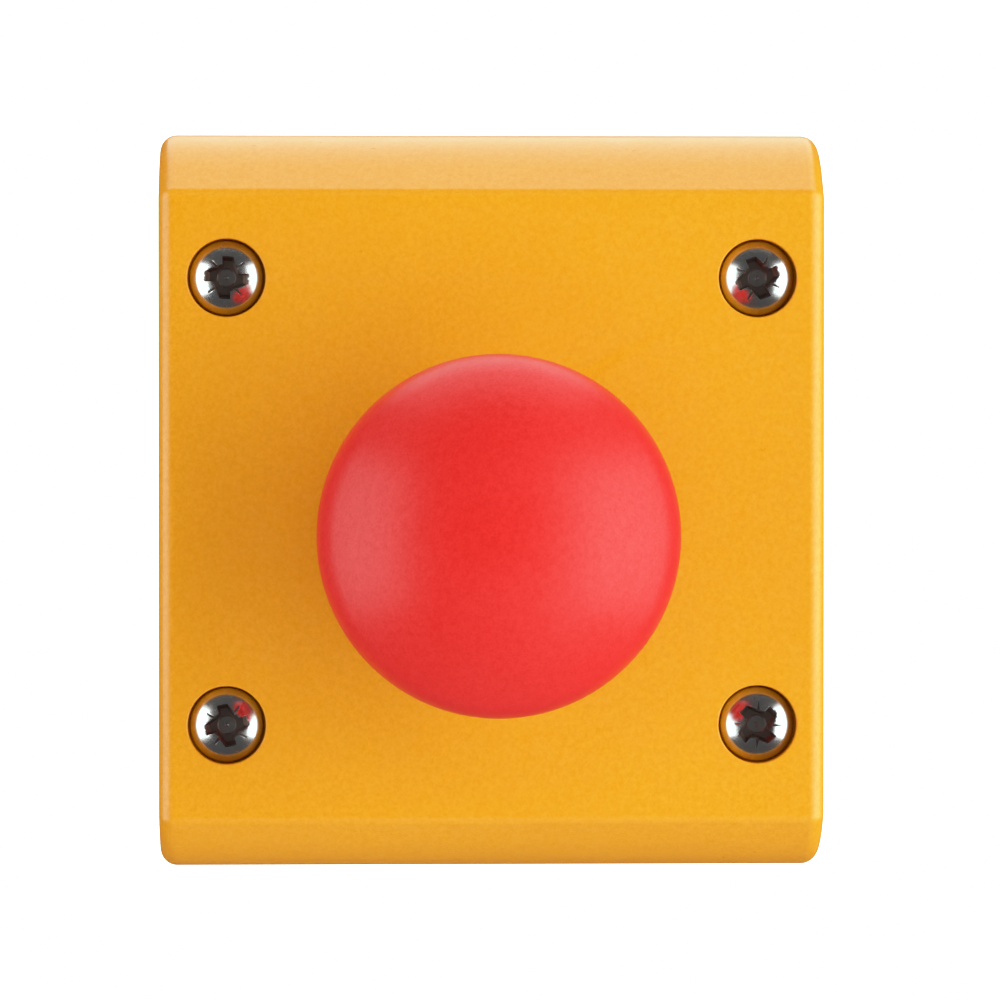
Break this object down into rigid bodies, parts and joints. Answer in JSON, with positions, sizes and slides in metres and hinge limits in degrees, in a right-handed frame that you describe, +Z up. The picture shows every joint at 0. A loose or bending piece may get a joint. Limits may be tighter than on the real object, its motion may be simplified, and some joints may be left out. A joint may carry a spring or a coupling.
{
  "type": "emergency stop button",
  "caption": "Surface-mounting emergency stop station: yellow screwed cover, red mushroom push-button that latches when pressed, dark base, contact blocks inside.",
  "frame": {"origin": "centre of the base's back face, which lies on the wall", "axes": "+Y into the wall, so the button points to -Y; +Z up; +X to the right as seen from the front"},
  "size_m": [0.072, 0.0889, 0.08],
  "materials": {
    "yellow_cover": "fine-grained moulded plastic, satin",
    "red_plastic": "satin moulded plastic",
    "dark_base": "dark grey fine-grained moulded plastic",
    "black_plastic": "black moulded plastic",
    "contact_plastic": "grey-black moulded plastic",
    "white_plastic": "off-white moulded plastic",
    "rubber": "black moulded rubber",
    "zinc": "bright zinc-plated steel",
    "spring_steel": "drawn spring wire",
    "brass": "turned and stamped brass"
  },
  "bodies": {
    "enclosure": {"base_box": "dark_base", "cover_seal": "rubber", "insert_top_left": "brass", "insert_top_right": "brass", "insert_bottom_left": "brass", "insert_bottom_right": "brass"},
    "cover": {"collar_gasket": "rubber", "stem_seal": "rubber", "front_cover": "yellow_cover", "cover_screw_top_left": "zinc", "cover_screw_top_right": "zinc", "cover_screw_bottom_left": "zinc", "cover_screw_bottom_right": "zinc", "screw_washer_top_left": "black_plastic", "screw_washer_top_right": "black_plastic", "screw_washer_bottom_left": "black_plastic", "screw_washer_bottom_right": "black_plastic", "operator_body": "black_plastic", "lock_nut": "black_plastic", "latch_band": "spring_steel", "return_spring": "spring_steel", "latch_spring_left": "spring_steel", "latch_spring_right": "spring_steel", "contact_adapter": "contact_plastic", "left_contact_housing": "contact_plastic", "left_contact_rear_cover": "contact_plastic", "left_top_terminal": "brass", "left_bottom_terminal": "brass", "left_contact_spring": "spring_steel", "left_top_terminal_screw": "zinc", "left_bottom_terminal_screw": "zinc", "right_contact_housing": "contact_plastic", "right_contact_rear_cover": "contact_plastic", "right_top_terminal": "brass", "right_bottom_terminal": "brass", "right_contact_spring": "spring_steel", "right_top_terminal_screw": "zinc", "right_bottom_terminal_screw": "zinc"},
    "button": {"mushroom_head": "red_plastic", "button_stem": "white_plastic"},
    "contact_left": {"left_contact_plunger": "red_plastic", "left_contact_bridge": "brass"},
    "contact_right": {"right_contact_plunger": "red_plastic", "right_contact_bridge": "brass"},
    "pawl_left": {"latch_pawl_left": "brass"},
    "pawl_right": {"latch_pawl_right": "brass"}
  },
  "joints": [
    {"name": "cover_lift", "type": "slide", "parent": "enclosure", "child": "cover", "axis": [0, -1, 0], "range_m": [0, 0.06]},
    {"name": "button_press", "type": "slide", "parent": "cover", "child": "button", "axis": [0, 1, 0], "range_m": [0, 0.0055], "deforming": ["return_spring"]},
    {"name": "contact_left_slide", "type": "slide", "parent": "cover", "child": "contact_left", "axis": [0, 1, 0], "range_m": [0, 0.0055], "deforming": ["left_contact_spring"]},
    {"name": "contact_right_slide", "type": "slide", "parent": "cover", "child": "contact_right", "axis": [0, 1, 0], "range_m": [0, 0.0055], "deforming": ["right_contact_spring"]},
    {"name": "pawl_left_slide", "type": "slide", "parent": "cover", "child": "pawl_left", "axis": [1, 0, 0], "range_m": [0, 0.00122], "deforming": ["latch_spring_left"]},
    {"name": "pawl_right_slide", "type": "slide", "parent": "cover", "child": "pawl_right", "axis": [-1, 0, 0], "range_m": [0, 0.00122], "deforming": ["latch_spring_right"]}
  ],
  "couplings": [
    {"joint": "contact_left_slide", "follows": "button_press", "ratio": 1},
    {"joint": "contact_right_slide", "follows": "button_press", "ratio": 1},
    {"joint": "pawl_left_slide", "follows": "button_press", "ratio": 0.22},
    {"joint": "pawl_right_slide", "follows": "button_press", "ratio": 0.22}
  ]
}
